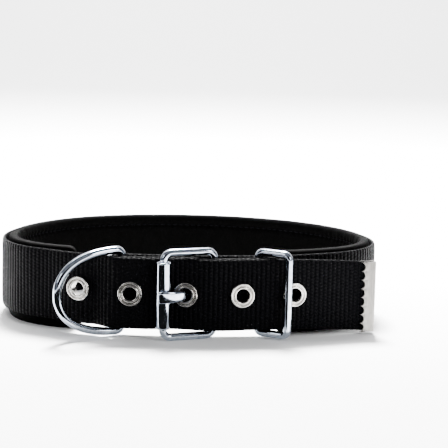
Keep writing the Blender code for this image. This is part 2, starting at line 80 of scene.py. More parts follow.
HALF_WEB = WEBBING_THICKNESS / 2
MID_HEIGHT = WEBBING_WIDTH / 2 + BUCKLE_PLAY + BUCKLE_WIRE
PAD_HEIGHT = MID_HEIGHT + WEBBING_WIDTH / 2 + PAD_RISE
INNER_PLY = CLEARANCE + HALF_WEB
INNER_FACE = CLEARANCE + WEBBING_THICKNESS
LAYER_STEP = WEBBING_THICKNESS + LAYER_GAP
FOLD_RADIUS = D_WIRE / 2 + CLEARANCE + HALF_WEB
D_BAR_OFFSET = INNER_PLY + FOLD_RADIUS
EYE_RADIUS = BUCKLE_WIRE / 2 + CLEARANCE + PRONG_EYE / 2
HEEL_OFFSET = INNER_FACE + CLEARANCE + EYE_RADIUS + PRONG_EYE / 2
KEEPER_OFFSET = INNER_FACE + CLEARANCE + KEEPER_WIRE / 2
LIFT = INNER_PLY + SLACK_LIFT
NOSE_OFFSET = LIFT + LAYER_STEP + HALF_WEB + CLEARANCE + ROLLER_DIAMETER / 2
NOSE_BACK = math.sqrt(BUCKLE_REACH ** 2 - (NOSE_OFFSET - HEEL_OFFSET) ** 2)
NECK_CURVE = np.array((
    (-0.366, -0.404), (-0.166, -0.471), (0.084, -0.481), (0.297, -0.423), (0.472, -0.288),
    (0.528, -0.038), (0.447, 0.269), (0.247, 0.500), (-0.016, 0.577), (-0.291, 0.500),
    (-0.466, 0.250), (-0.528, -0.058), (-0.478, -0.288))) * (LOOP_WIDTH, LOOP_DEPTH)
print("pad height in mm:", round(PAD_HEIGHT * 1000, 1), "strap middle at:", round(MID_HEIGHT * 1000, 1))

# %% [markdown]
# The collar is one long strap, so every place on it is an arc length s along the neck curve, the outer
# face of the pad. s is 0 at the buckle's heel bar and grows to the right. A second number, the offset,
# is the distance outwards. With these two numbers a fold or a bump is as easy to state as on a table.
# The curve could be an ellipse, but a real collar lies a little uneven, and a B-spline follows that.


# %% The neck curve
def neck_curve(steps=200):
    """Closed cubic B-spline: each point is a weighted mean of four neighbours in NECK_CURVE."""
    t = np.arange(steps)[:, None] / steps
    weights = ((1 - t) ** 3 / 6, (3 * t ** 3 - 6 * t ** 2 + 4) / 6,
               (-3 * t ** 3 + 3 * t ** 2 + 3 * t + 1) / 6, t ** 3 / 6)
    count = len(NECK_CURVE)
    points = np.vstack([sum(w * NECK_CURVE[(i + k) % count] for k, w in enumerate(weights))
                        for i in range(count)])
    points = np.vstack((points, points[:1]))
    length = np.concatenate(([0.0], np.cumsum(np.linalg.norm(np.diff(points, axis=0), axis=1))))
    tangent = np.gradient(np.vstack((points[-2:-1], points, points[1:2])), axis=0)[1:-1]
    tangent /= np.linalg.norm(tangent, axis=1)[:, None]
    normals = np.stack((tangent[:, 1], -tangent[:, 0]), axis=1)
    front = np.where(points[:, 1] < 0, np.abs(points[:, 0] - HEEL_X), 1.0)
    return points, length, normals, length[np.argmin(front)]


CURVE, RUNNING, NORMALS, HEEL_LENGTH = neck_curve()
LOOP_LENGTH = RUNNING[-1]
plan_shift = np.zeros(2)


def at(s, offset):
    """Plan points: the curve read at arc length s, plus its outward normal times the offset."""
    where = (np.atleast_1d(s) + HEEL_LENGTH) % LOOP_LENGTH
    point = np.stack([np.interp(where, RUNNING, CURVE[:, k]) for k in (0, 1)], axis=1)
    normal = np.stack([np.interp(where, RUNNING, NORMALS[:, k]) for k in (0, 1)], axis=1)
    return point + normal * np.broadcast_to(offset, len(point))[:, None] + plan_shift


ring_joint = next(j for j in frame["joints"] if j["name"] == "d_ring_swing")
plan_shift = np.array(ring_joint["pos_m"][:2]) - at(-D_BAR_BACK, D_BAR_OFFSET)[0]
print("neck curve in mm:", round(LOOP_LENGTH * 1000), "shift in mm:", np.round(plan_shift * 1000, 2))

# %% [markdown]
# Three layers of webbing lie over each other at the front. The middle one rises over the bars of the
# D-ring, the buckle and the keeper. Half cosines between a few resting places give that soft rise and
# fall, and the outer layer follows the middle one at a fixed step. Straight ramps would be simpler,
# but stiff nylon never shows a kink.


# %% The layers of webbing
FLANGE_SEAT = 0.9                                   # share of an eyelet's flange that lies level
NOSE_SEAT, END_SEAT = 0.003, 0.002                  # level stretches at the roller and the short end
RISE_START, RISE_KNEE, RISE_END = 0.036, 0.0127, 0.0007     # back from the D-ring's bar
KNEE_SHARE = 0.48                                   # part of the rise that is done at the knee


def eased(s, knots):
    """Rests at each (s, value) knot, and eases between two of them with half a cosine wave."""
    places, values = np.array(knots).T
    k = np.clip(np.searchsorted(places, s) - 1, 0, len(places) - 2)
    share = np.clip((s - places[k]) / (places[k + 1] - places[k]), 0, 1)
    return values[k] + (values[k + 1] - values[k]) * (1 - np.cos(np.pi * share)) / 2


def middle_ply(s):
    """Offset of the middle layer: high over each bar, lower in between."""
    over_heel = HEEL_OFFSET + BUCKLE_WIRE / 2 + CLEARANCE + HALF_WEB
    over_keeper = KEEPER_OFFSET + KEEPER_WIRE / 2 + CLEARANCE + HALF_WEB
    flat = INNER_PLY + WEBBING_THICKNESS + CLEARANCE
    over_bar = D_BAR_OFFSET + FOLD_RADIUS
    return eased(s, ((-D_BAR_BACK, over_bar), (-D_BAR_BACK + EYELET_FLANGE * FLANGE_SEAT, over_bar),
                     (-NOSE_BACK + NOSE_SEAT, LIFT), (0.0, over_heel), (KEEPER_AT, over_keeper),
                     (SHORT_END - END_SEAT, flat), (SHORT_END, flat)))


def outer_ply(s):
    """Offset of the outer layer: on the pad at the left, then one step over the middle layer."""
    over_fold = D_BAR_OFFSET + FOLD_RADIUS + LAYER_STEP
    rising = eased(s, ((-D_BAR_BACK - RISE_START, INNER_PLY),
                       (-D_BAR_BACK - RISE_KNEE, over_fold * KNEE_SHARE),
                       (-D_BAR_BACK - RISE_END, over_fold), (-D_BAR_BACK, over_fold)))
    return np.where(s < -D_BAR_BACK, rising, middle_ply(s) + LAYER_STEP)


bars = np.array([-D_BAR_BACK, -NOSE_BACK, 0.0, KEEPER_AT])
print("outer layer at the four bars, mm off the pad:", np.round(outer_ply(bars) * 1000, 1))

# %% [markdown]
# An offset becomes a centre line in space once it has the strap's height. Past the keeper the real tail
# is held by nothing: it springs off the curve, runs nearly straight and droops under the clamp's weight.
# A bend that eases into a straight line is enough for that, and no simulation is needed.


# %% Centre lines
NEAR = 0.0005                                       # two places this close give a direction
DROOP_POWER = 1.5                                   # above 1, so that the droop starts gently


def level(s, offset):
    """Centre line at the strap's height."""
    plan = at(s, offset)
    return np.column_stack((plan, np.full(len(plan), MID_HEIGHT)))


def outer_route(s):
    """Centre line of the outer layer; past the keeper it bends a little, runs straight and droops."""
    s = np.atleast_1d(s)
    leave = np.array([KEEPER_AT - NEAR, KEEPER_AT])
    start = at(leave, outer_ply(leave))
    way = (start[1] - start[0]) / np.linalg.norm(start[1] - start[0])
    inwards = np.array([-way[1], way[0]])
    past = np.clip(s - KEEPER_AT, 0, None)
    bent = np.minimum(past, TAIL_BEND)
    drift = math.tan(TAIL_TURN) * (bent ** 2 / (2 * TAIL_BEND) + past - bent)
    kept = np.minimum(s, KEEPER_AT)
    plan = at(kept, outer_ply(kept)) + past[:, None] * way + drift[:, None] * inwards
    droop = TAIL_DROOP * np.clip(past / TAIL_LENGTH, 0, 1) ** DROOP_POWER
    return np.column_stack((plan, MID_HEIGHT - droop))


def side_of(route):
    """Unit plan normals on the right-hand side of a route, which is outwards on the outer layer."""
    way = np.gradient(route, axis=0)[:, :2]
    way /= np.linalg.norm(way, axis=1)[:, None]
    return np.stack((way[:, 1], -way[:, 0], np.zeros(len(way))), axis=1)


tail_end = outer_route(KEEPER_AT + TAIL_LENGTH)[0]
print("tail ends at, in mm:", np.round(tail_end * 1000, 1))

# %% [markdown]
# Webbing, foam and wire could each be pushed into shape from Blender's own primitives, but then their
# sizes would be hard to hold. So one function turns a grid of points, computed first, into a mesh. A
# grid may close round on itself, like a tube, or have its two ends capped. The signed volume tells
# whether the faces point outwards, and if it is negative they are all turned round. Face corners carry
# the pattern's own coordinates in millimetres.

# %% From a grid of points to a mesh
UP = np.array([0.0, 0.0, 1.0])


def new_piece(name, points, faces):
    """An object in the scene with a smooth shaded mesh of these points and faces."""
    mesh = bpy.data.meshes.new(name)
    mesh.from_pydata(points, [], faces)
    mesh.shade_smooth()
    obj = bpy.data.objects.new(name, mesh)
    bpy.context.scene.collection.objects.link(obj)
    return obj


def surface(name, grid, uv=None, loop=False):
    """Mesh over rings of points. loop joins the last ring to the first, else both ends are capped."""
    rows, cols = grid.shape[:2]
    i, k = np.meshgrid(np.arange(rows if loop else rows - 1), np.arange(cols), indexing="ij")
    j, m = (i + 1) % rows, (k + 1) % cols
    quads = np.stack((i * cols + k, i * cols + m, j * cols + m, j * cols + k), axis=-1)
    quads, points = quads.reshape(-1, 4), grid.reshape(-1, 3)
    a, b, c, d = (points[quads[:, n]] for n in range(4))
    volume = np.einsum("ij,ij->", a, np.cross(b, c)) + np.einsum("ij,ij->", a, np.cross(c, d))
    faces = quads.tolist()
    if not loop:
        faces += [list(range(cols))[::-1], list(range((rows - 1) * cols, rows * cols))]
    obj = new_piece(name, points.tolist(), faces)
    if uv is not None:
        wide = np.stack((uv[i, k], uv[i, k + 1], uv[i + 1, k + 1], uv[i + 1, k]), axis=2)
        ends = np.zeros((0 if loop else 2 * cols, 2))
        layer = obj.data.uv_layers.new(name="Pattern")
        layer.data.foreach_set("uv", np.vstack((wide.reshape(-1, 2), ends)).ravel())
    if volume < 0:
        obj.data.flip_normals()
    return obj


# %% [markdown]
# Some pieces are sewn in many parts or punched, so two helpers join meshes and cut one out of others.
# The third dresses a finished piece: its material, the body that it rides on when a joint moves, and the
# solid parts that it stands for.


# %% Joining, cutting and dressing
def merged(name, pieces):
    """Joins several objects into one mesh."""
    with bpy.context.temp_override(active_object=pieces[0], selected_editable_objects=pieces):
        bpy.ops.object.join()
    pieces[0].name = pieces[0].data.name = name
    return pieces[0]


def carved(obj, cutters):
    """Cuts the cutters out of an object and keeps the result as its mesh."""
    cutter = merged("cutter", cutters) if len(cutters) > 1 else cutters[0]
    change = obj.modifiers.new("Cut", "BOOLEAN")
    change.operation, change.solver, change.object = "DIFFERENCE", "EXACT", cutter
    depsgraph = bpy.context.evaluated_depsgraph_get()
    mesh = bpy.data.meshes.new_from_object(obj.evaluated_get(depsgraph))
    obj.modifiers.clear()
    obj.data = mesh
    bpy.data.objects.remove(cutter)
    return obj


def dress(obj, body, slot, finish, *nodes):
    """Gives a piece its finish, lets it ride on its body and stand for its nodes."""
    obj.data.materials.clear()
    obj.data.materials.append(finish)
    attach(obj, body)
    if nodes:
        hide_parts(*nodes)
    print(obj.name, "faces:", len(obj.data.polygons))


# %% [markdown]
# Colours are written as the hex codes a designer would pick on a screen. Blender works in linear
# light, so one function converts them. A second small function adds a shader node with its settings
# and its links, and that is all the machinery the materials need.


# %% Colour and node helpers
def linear(code):
    """Linear RGBA from an sRGB hex code."""
    value = np.array([int(code[i:i + 2], 16) for i in (1, 3, 5)]) / 255
    value = np.where(value <= 0.04045, value / 12.92, ((value + 0.055) / 1.055) ** 2.4)
    return (*value.tolist(), 1.0)


def add(tree, kind, links=None, **settings):
    """Adds one node; settings are its properties, links map an input to a value or an output."""
    node = tree.nodes.new(kind)
    for name, value in settings.items():
        setattr(node, name, value)
    for name, value in (links or {}).items():
        if isinstance(value, bpy.types.NodeSocket):
            tree.links.new(value, node.inputs[name])
        else:
            node.inputs[name].default_value = value
    return node


def finish_of(name, **sockets):
    """A material with its Principled shader's own sockets set."""
    material = bpy.data.materials.new(name)
    material.use_nodes = True
    shader = material.node_tree.nodes["Principled BSDF"]
    for socket, value in sockets.items():
        shader.inputs[socket.replace("_", " ")].default_value = value
    return material, material.node_tree, shader


print("screen grey #808080 in linear light:", round(linear("#808080")[0], 3))

# %% [markdown]
# Ribbed nylon webbing: a heavy weft carries the ribs across the strap and the warp crosses each rib
# in small beads. The ribs are real relief in the mesh. The beads are too small for that, so they are
# bump, 1.45 mm apart and shifted by half a step from rib to rib.

# %% Webbing finish
# Dyed nylon, woven on a needle loom: deep black, with a weak, soft gloss that only shows along the ribs.
# Its colour is a little lighter on the bead crowns as a painted highlight, and darker in the valleys as
# painted shade.
BEAD_SOFTNESS, FIBRE_SHARE = 0.55, 0.35
webbing, tree, shader = finish_of("Ribbed nylon webbing", Roughness=0.5, IOR=1.53,
                                  Specular_IOR_Level=0.02)
place = add(tree, "ShaderNodeUVMap", uv_map="Pattern")
spot = add(tree, "ShaderNodeSeparateXYZ", {0: place.outputs[0]})
rib_number = add(tree, "ShaderNodeMath", {0: spot.outputs[0], 1: RIB_PITCH * 1000},
                 operation="DIVIDE")
rib_floor = add(tree, "ShaderNodeMath", {0: rib_number.outputs[0]}, operation="FLOOR")
shifted = add(tree, "ShaderNodeMath", {0: rib_floor.outputs[0], 1: 0.5 * BEAD_PITCH_MM,
                                       2: spot.outputs[1]}, operation="MULTIPLY_ADD")
turns = add(tree, "ShaderNodeMath", {0: shifted.outputs[0], 1: math.pi / BEAD_PITCH_MM},
            operation="MULTIPLY")
wave = add(tree, "ShaderNodeMath", {0: turns.outputs[0]}, operation="SINE")
bead = add(tree, "ShaderNodeMath", {0: wave.outputs[0]}, operation="ABSOLUTE")
soft_bead = add(tree, "ShaderNodeMath", {0: bead.outputs[0], 1: BEAD_SOFTNESS}, operation="POWER")
along_rib = add(tree, "ShaderNodeMath", {0: rib_number.outputs[0], 1: math.pi},
                operation="MULTIPLY")
rib_wave = add(tree, "ShaderNodeMath", {0: along_rib.outputs[0]}, operation="SINE")
rib_top = add(tree, "ShaderNodeMath", {0: rib_wave.outputs[0]}, operation="ABSOLUTE")
knuckle = add(tree, "ShaderNodeMath", {0: soft_bead.outputs[0], 1: rib_top.outputs[0]},
              operation="MULTIPLY")
fibre = add(tree, "ShaderNodeTexNoise", {"Vector": place.outputs[0], "Scale": 5.0, "Detail": 6.0,
                                         "Roughness": 0.7})
height = add(tree, "ShaderNodeMath", {0: fibre.outputs[0], 1: FIBRE_SHARE, 2: knuckle.outputs[0]},
             operation="MULTIPLY_ADD")
bump = add(tree, "ShaderNodeBump", {"Height": height.outputs[0], "Strength": 0.85,
                                    "Distance": 0.0004})
# The colour ramp follows the same height as the bump: the darker valleys are painted shade and the
# lighter bead crowns a painted highlight. The fibre noise in it varies the black at random.
tone = add(tree, "ShaderNodeValToRGB", {0: height.outputs[0]})
shaded_valley, lit_crown = tone.color_ramp.elements
shaded_valley.position, shaded_valley.color = 0.25, linear("#010102")
lit_crown.position, lit_crown.color = 1.05, linear("#020203")
tree.links.new(tone.outputs[0], shader.inputs["Base Color"])
tree.links.new(bump.outputs[0], shader.inputs["Normal"])
print("webbing finish: ribs", RIB_PITCH * 1000, "mm apart, beads", BEAD_PITCH_MM, "mm apart")

# %% [markdown]
# The lining is foam in a close polyester weave. A photo of cloth could be wrapped round it, but two
# sine waves, one along and one across, already cross like warp and weft. The real weave is 0.5 mm
# and is drawn at 0.7 mm so that it shows. A slow noise gives the cover its slight unevenness.

# %% Pad finish
# Woven polyester over foam: matt and the darkest thing in the picture, so that only its relief reads.
WEAVE_MM, CLOUD_SHARE = 0.7, 1.6
pad_cloth, tree, shader = finish_of("Woven polyester over foam", Roughness=0.7, IOR=1.5,
                                    Specular_IOR_Level=0.012)
shader.inputs["Base Color"].default_value = linear("#010101")
place = add(tree, "ShaderNodeUVMap", uv_map="Pattern")
spot = add(tree, "ShaderNodeSeparateXYZ", {0: place.outputs[0]})
across = add(tree, "ShaderNodeMath", {0: spot.outputs[0], 1: 2 * math.pi / WEAVE_MM},
             operation="MULTIPLY")
upward = add(tree, "ShaderNodeMath", {0: spot.outputs[1], 1: 2 * math.pi / WEAVE_MM},
             operation="MULTIPLY")
warp = add(tree, "ShaderNodeMath", {0: across.outputs[0]}, operation="SINE")
weft = add(tree, "ShaderNodeMath", {0: upward.outputs[0]}, operation="SINE")
weave = add(tree, "ShaderNodeMath", {0: warp.outputs[0], 1: weft.outputs[0]}, operation="MULTIPLY")
cloud = add(tree, "ShaderNodeTexNoise", {"Vector": place.outputs[0], "Scale": 0.35, "Detail": 5.0})
relief = add(tree, "ShaderNodeMath", {0: cloud.outputs[0], 1: CLOUD_SHARE, 2: weave.outputs[0]},
             operation="MULTIPLY_ADD")
bump = add(tree, "ShaderNodeBump", {"Height": relief.outputs[0], "Strength": 0.45,
                                    "Distance": 0.00012})
tree.links.new(bump.outputs[0], shader.inputs["Normal"])
print("pad finish: weave", WEAVE_MM, "mm apart")

# %% [markdown]
# The wire is steel dipped in chrome baths, the eyelets are nickel plated brass, and the end clamp is
# stamped from nickelled sheet that keeps the fine lines of the rolling mill. All three are metals, so
# metallic is 1 and the colour is that of their reflection, except that the clamp's is darkened as
# painted shade.
# One recipe serves them: a noise on the piece itself moves colour and roughness a little, as handling
# does. Only its numbers differ.


# %% Metal finishes
def plated(name, colour, worn_colour, roughness, worn_roughness, grain, stretch=(1.0, 1.0, 1.0)):
    """Plated metal whose colour and roughness drift with a fine noise; grain is its size in metres."""
    material, tree, shader = finish_of(name, Metallic=1.0, Roughness=roughness)
    place = add(tree, "ShaderNodeMapping", {0: add(tree, "ShaderNodeTexCoord").outputs["Object"],
                                            "Scale": stretch})
    noise = add(tree, "ShaderNodeTexNoise", {"Vector": place.outputs[0], "Scale": 1.0 / grain,
                                             "Detail": 4.0})
    colours = add(tree, "ShaderNodeValToRGB", {0: noise.outputs[0]})
    codes = zip(colours.color_ramp.elements, (0.35, 0.7), (colour, worn_colour))
    for element, position, code in codes:
        element.position, element.color = position, linear(code)
    haze = add(tree, "ShaderNodeMapRange", {0: noise.outputs[0], 1: 0.35, 2: 0.75, 3: roughness,
                                            4: worn_roughness})
    bump = add(tree, "ShaderNodeBump", {"Height": noise.outputs[0], "Strength": 0.02,
                                        "Distance": grain / 4})
    tree.links.new(colours.outputs[0], shader.inputs["Base Color"])
    tree.links.new(haze.outputs[0], shader.inputs["Roughness"])
    tree.links.new(bump.outputs[0], shader.inputs["Normal"])
    return material


# Chrome on drawn steel wire: almost a mirror, cool, so it shows crisp white and black bands.
chrome = plated("Chromed steel wire", "#B4BBC6", "#969FAD", 0.05, 0.12, 0.0012)
# Nickel on pressed brass: warmer and softer, so each ring reads as one pale, satin band.
nickel = plated("Nickel plated brass", "#CDCAC5", "#B4B1AC", 0.20, 0.26, 0.006)
# Nickelled rolled sheet: an even, light grey face, with grain drawn out up the clamp. Its colour is set
# far darker than the eyelets' nickel as painted shade, which dulls the bright set that the face
# reflects.
satin = plated("Nickelled steel sheet with painted shade", "#72706C", "#605E5B", 0.28, 0.40, 0.0005, (1.0, 1.0, 0.12))
print("metals:", [m.name for m in (chrome, nickel, satin)])

# %% [markdown]
# The pad is sewn with bonded nylon, which is twisted and coated. Up close a thread is never one flat
# colour, so a noise finer than half a millimetre breaks it up. Modelled fibres would cost far more.

# %% Thread finish
# Bonded nylon thread: dull black, a shade lighter than the cover, so the rows of stitches just show.
thread, tree, shader = finish_of("Bonded nylon thread", Roughness=0.8, Specular_IOR_Level=0.03)
place = add(tree, "ShaderNodeTexCoord")
fuzz = add(tree, "ShaderNodeTexNoise", {"Vector": place.outputs["Object"], "Scale": 2500.0})
tone = add(tree, "ShaderNodeValToRGB", {0: fuzz.outputs[0]})
for element, code in zip(tone.color_ramp.elements, ("#010102", "#060608")):
    element.color = linear(code)
tree.links.new(tone.outputs[0], shader.inputs["Base Color"])
print("thread finish:", thread.name)

# %% [markdown]
# The real strap is one length of webbing, so one centre line is laid out for all three layers: from
# its short end behind the keeper, left to the D-ring's bar, round it, the whole way round the pad, and
# back over the front to the tail. Three separate straps would be easier, but the fold would be missing.


# %% The strap's route
LAST_ON_PAD, FIRST_OUTER = 0.037, 0.0365            # where the route passes from pad to outer layer
FINE_STEP, PLAIN_STEP = 0.0004, 0.0006              # sampling over the hardware, and on the pad
FOLD_STEPS = 30


def spaced(start, end, step):
    """Evenly spaced values from start to end."""
    return np.linspace(start, end, int(abs(end - start) / step) + 2)


def strap_route(step):
    """The strap's whole centre line, resampled so that its stations lie step apart."""
    middle = spaced(SHORT_END, -D_BAR_BACK, FINE_STEP)
    turn = np.linspace(-math.pi / 2, -1.5 * math.pi, FOLD_STEPS)[1:-1]
    inner = spaced(-D_BAR_BACK, LOOP_LENGTH - D_BAR_BACK - LAST_ON_PAD, PLAIN_STEP)
    outer = spaced(-D_BAR_BACK - FIRST_OUTER, KEEPER_AT + TAIL_LENGTH, FINE_STEP)
    fold = level(-D_BAR_BACK + FOLD_RADIUS * np.cos(turn), D_BAR_OFFSET - FOLD_RADIUS * np.sin(turn))
    rough = np.vstack((level(middle, middle_ply(middle)), fold, level(inner, INNER_PLY),
                       outer_route(outer)))
    length = np.concatenate(([0.0], np.cumsum(np.linalg.norm(np.diff(rough, axis=0), axis=1))))
    even = spaced(0.0, length[-1], step)
    return np.stack([np.interp(even, length, rough[:, k]) for k in range(3)], axis=1), even


route, even = strap_route(RIB_PITCH / 6)
print("strap length in mm:", round(even[-1] * 1000), "stations:", len(even))

# %% [markdown]
# The section of webbing is flat with thin, round, tightly woven selvedges, and its faces swell and sink
# once per rib. Ribs could be bump alone, but they show in the strap's outline at the turns, so they are
# real relief. The sine is raised to a power below one, which makes round ribs with narrow valleys.


# %% The strap's section
FACE_POINTS, FACE_INSET = 14, 0.0007                # points over a face, and where the selvedge starts
EDGE_ROUND, EDGE_SHARE = 0.0001, 0.75               # the selvedge's rounding, in metres and as a share
RIB_FLOOR, RIB_LIFT, RIB_POWER = 0.72, 0.34, 0.6    # shares of the half thickness, and the rib's form
RIB_FADE = 0.0016                                   # the ribs die out over this width at each edge
WAVER, WAVER_LENGTH, WAVER_TURNS = 0.00008, 0.017, 190      # hand-made unevenness of the face
PATTERN_SEAM = 0.0008


def strap_grid(route, even):
    """Faces at a share of half the thickness, lifted by |sin| per rib and closed by round edges."""
    half = WEBBING_WIDTH / 2
    edge = half - EDGE_ROUND
    rise = np.concatenate((np.linspace(-half + FACE_INSET, half - FACE_INSET, FACE_POINTS),
                           [edge, half, edge]))
    out = np.concatenate((np.ones(FACE_POINTS), [EDGE_SHARE, 0.0, -EDGE_SHARE]))
    across = np.concatenate((rise, rise[:FACE_POINTS][::-1], [-edge, -half, -edge]))
    out = np.concatenate((out, -np.ones(FACE_POINTS), [-EDGE_SHARE, 0.0, EDGE_SHARE]))
    rib = np.abs(np.sin(math.pi * even / RIB_PITCH)) ** RIB_POWER
    near_edge = np.clip((half - np.abs(across)) / RIB_FADE, 0, 1)
    depth = RIB_FLOOR * HALF_WEB + RIB_LIFT * HALF_WEB * rib[:, None] * near_edge
    long_wave = np.sin(even * 2 * math.pi / WAVER_LENGTH)[:, None]
    waver = WAVER * long_wave * np.sin(across * WAVER_TURNS)[None, :]
    side = side_of(route)
    grid = (route[:, None] + side[:, None] * (out * depth + waver)[..., None]
            + UP * across[None, :, None])
    around = np.concatenate(([0.0], np.cumsum(np.hypot(np.diff(across), HALF_WEB * np.diff(out)))))
    around = np.append(around, around[-1] + PATTERN_SEAM) * 1000
    uv = np.stack(np.meshgrid(even * 1000, around, indexing="ij"), axis=-1)
    return grid, uv


grid, uv = strap_grid(route, even)
strap = surface("webbing", grid, uv)
print("ribs along the strap:", round(even[-1] / RIB_PITCH))

# %% [markdown]
# Each eyelet is punched through the outer layer, and a slot in the middle layer lets the prong pass.
# A dark disc could stand for each hole, but light falls through a real one. So they are cut with plain
# solids: a cylinder for each hole, and a box that follows the strap for the slot.


# %% Holes in the strap
CUT_REACH = HALF_WEB + LAYER_GAP * 0.45             # through one layer and short of the next
SLOT_STEP = 0.002


def eyelet_frames():
    """Centre and outward direction of each eyelet on the outer layer."""
    rows = []
    for number in range(1, EYELET_COUNT + 1):
        s = -PRONG_HOLE_BACK + (number - PRONG_EYELET) * EYELET_SPACING
        near = outer_route(np.array([s - 2 * NEAR, s, s + 2 * NEAR]))
        rows.append((near[1], side_of(near)[1]))
    return rows


def plug(centre, axis, radius, reach, sides=40):
    """A plain cylinder about an axis, for cutting a hole."""
    turn = np.arange(sides) * 2 * math.pi / sides
    along = np.cross(axis, UP)
    ring = radius * (np.cos(turn)[:, None] * along + np.sin(turn)[:, None] * UP)
    return surface("plug", np.stack((centre + ring - axis * reach, centre + ring + axis * reach)))


hole = EYELET_BORE / 2 + EYELET_WALL + CLEARANCE / 2
cutters = [plug(centre, axis, hole, CUT_REACH) for centre, axis in eyelet_frames()]
slot_s = spaced(-PRONG_HOLE_BACK - hole, EYE_RADIUS + PRONG_EYE / 2 + CLEARANCE, SLOT_STEP)
slot_route = level(slot_s, middle_ply(slot_s))
slot_side, slot_half = side_of(slot_route), PRONG_WIDTH / 2 + 2 * CLEARANCE
slot_corners = [slot_route + slot_side * a * CUT_REACH + UP * b * slot_half
                for a, b in ((-1, -1), (1, -1), (1, 1), (-1, 1))]
cutters.append(surface("plug", np.stack(slot_corners, axis=1)))
dress(carved(strap, cutters), "collar", "webbing", webbing, "webbing_strap")

# %% [markdown]
# The pad is a strip of foam in a cloth cover, stitched through a few millimetres from both rims. The
# stitching pulls a groove, so each rim rolls up like piping and the middle swells. Bent to the curve of
# the neck, the inner cover is too long and puckers into small creases, most at the tight right bend.
# A cloth simulation would lose the narrow grooves, so the section and its creases are formulas.


# %% The foam pad
FACE_POWER, RIM_POWER = 0.34, 0.80                  # the section: flat faces and round rims
SEAM_INSET, SEAM_SPREAD = 0.0046, 0.0007            # each seam's distance from its rim, and its groove
PINCH_INNER, PINCH_OUTER = 0.30, 0.10               # how far the seam pulls each face in
CREASE_DEPTH, CREASE_LENGTH, SLOW_CREASE_LENGTH = 0.00016, 0.0071, 0.0113
STITCH_PITCH, STITCH_PUCKER, PUCKER_SPREAD = 0.0031, 0.00010, 0.0022
FULL_BEND = 25.0                                    # radians per metre at which creases are deepest
END_ROUND, END_CLOSED = 0.004, 0.0004               # the pad's ends: their length and last bit of width
END_HEIGHT = 0.75                                   # the pad's height at its very ends, as a share
SIDE_ROOM = 0.985                                   # keeps the swollen cover inside its thickness
SLOW_SHARE, SLOW_SHIFT = 0.6, 1.0                   # the longer creases: their depth and start
SWAY, STRAIGHT_SHARE = 2.2, 0.25                    # creases fade towards the rims and on straight parts


def pad_station(s):
    """Outer and inner plan points of the pad, and how tightly the neck curve bends there."""
    outer, inner = at(s, 0.0), at(s, -PAD_THICKNESS)
    way = np.gradient(outer, axis=0)
    angle = np.unwrap(np.arctan2(way[:, 1], way[:, 0]))
    bend = np.clip(np.gradient(angle, s) / FULL_BEND, 0, 1)
    return outer, inner, bend


def pad_grid(start, end, steps=620, sides=96):
    """A rounded slab: a superellipse section, pinched at the stitch lines, with creases between them."""
    s = np.linspace(start, end, steps)
    outer, inner, bend = pad_station(s)
    turn = np.linspace(0, 2 * math.pi, sides, endpoint=False)
    deep = np.sign(np.cos(turn)) * np.abs(np.cos(turn)) ** FACE_POWER
    rise = np.sign(np.sin(turn)) * np.abs(np.sin(turn)) ** RIM_POWER
    half, on_inner = PAD_HEIGHT / 2, deep < 0
    from_seam = np.abs(rise) * half - (half - SEAM_INSET)
    seam = np.exp(-(from_seam / SEAM_SPREAD) ** 2)
    near_seam = np.exp(-(from_seam / PUCKER_SPREAD) ** 2)[None, :]
    crease = (np.sin(s * 2 * math.pi / CREASE_LENGTH)
              + SLOW_SHARE * np.sin(s * 2 * math.pi / SLOW_CREASE_LENGTH + SLOW_SHIFT))[:, None]
    sway = np.cos(rise * SWAY)[None, :] * np.where(on_inner, 1.0, 0.0)[None, :]
    pucker = CREASE_DEPTH * crease * sway * (STRAIGHT_SHARE + bend[:, None])
    pulled = np.sin(s * 2 * math.pi / STITCH_PITCH)[:, None] * near_seam * on_inner[None, :]
    pucker = pucker + STITCH_PUCKER * pulled
    swell = 0.5 * deep * (1 - PINCH_INNER * seam * on_inner - PINCH_OUTER * seam * ~on_inner)
    ends = np.minimum(s - s[0], s[-1] - s) / END_ROUND
    close = np.sqrt(np.clip(1 - (1 - np.clip(ends, 0, 1)) ** 2, END_CLOSED, 1))
    share = 0.5 + (swell[None, :] * SIDE_ROOM - pucker / PAD_THICKNESS) * close[:, None]
    plan = inner[:, None] + (outer - inner)[:, None] * share[..., None]
    height = half + rise[None, :] * half * (END_HEIGHT + (1 - END_HEIGHT) * close)[:, None]
    height = np.maximum(height, 0.0)
    around = np.linspace(0, 2 * (PAD_HEIGHT + PAD_THICKNESS), sides + 1) * 1000
    uv = np.stack(np.meshgrid(s * 1000, around, indexing="ij"), axis=-1)
    return np.dstack((plan, height)), uv


grid, uv = pad_grid(PAD_START, LOOP_LENGTH - PAD_END)
pad = surface("foam_pad", grid, uv)
dress(pad, "collar", "pad_fabric", pad_cloth, "neck_pad")

# %% [markdown]
# Lockstitching shows as a row of short, round threads lying in each groove. A particle system or an
# array could repeat one stitch, but here all of them are one array of points: a small stretched ball
# is added to every stitch's centre at once. Each has 8 by 5 points only, because there are hundreds.


# %% Stitches along the pad's two grooves
STITCH_HALF = (0.0012, 0.00022, 0.00030)            # half its length, thickness and width
SEAM_SINK, SEAM_END = 0.00062, 0.005                # depth below the pad's face, and stop at its ends
BALL_AROUND, BALL_ALONG = 8, 5


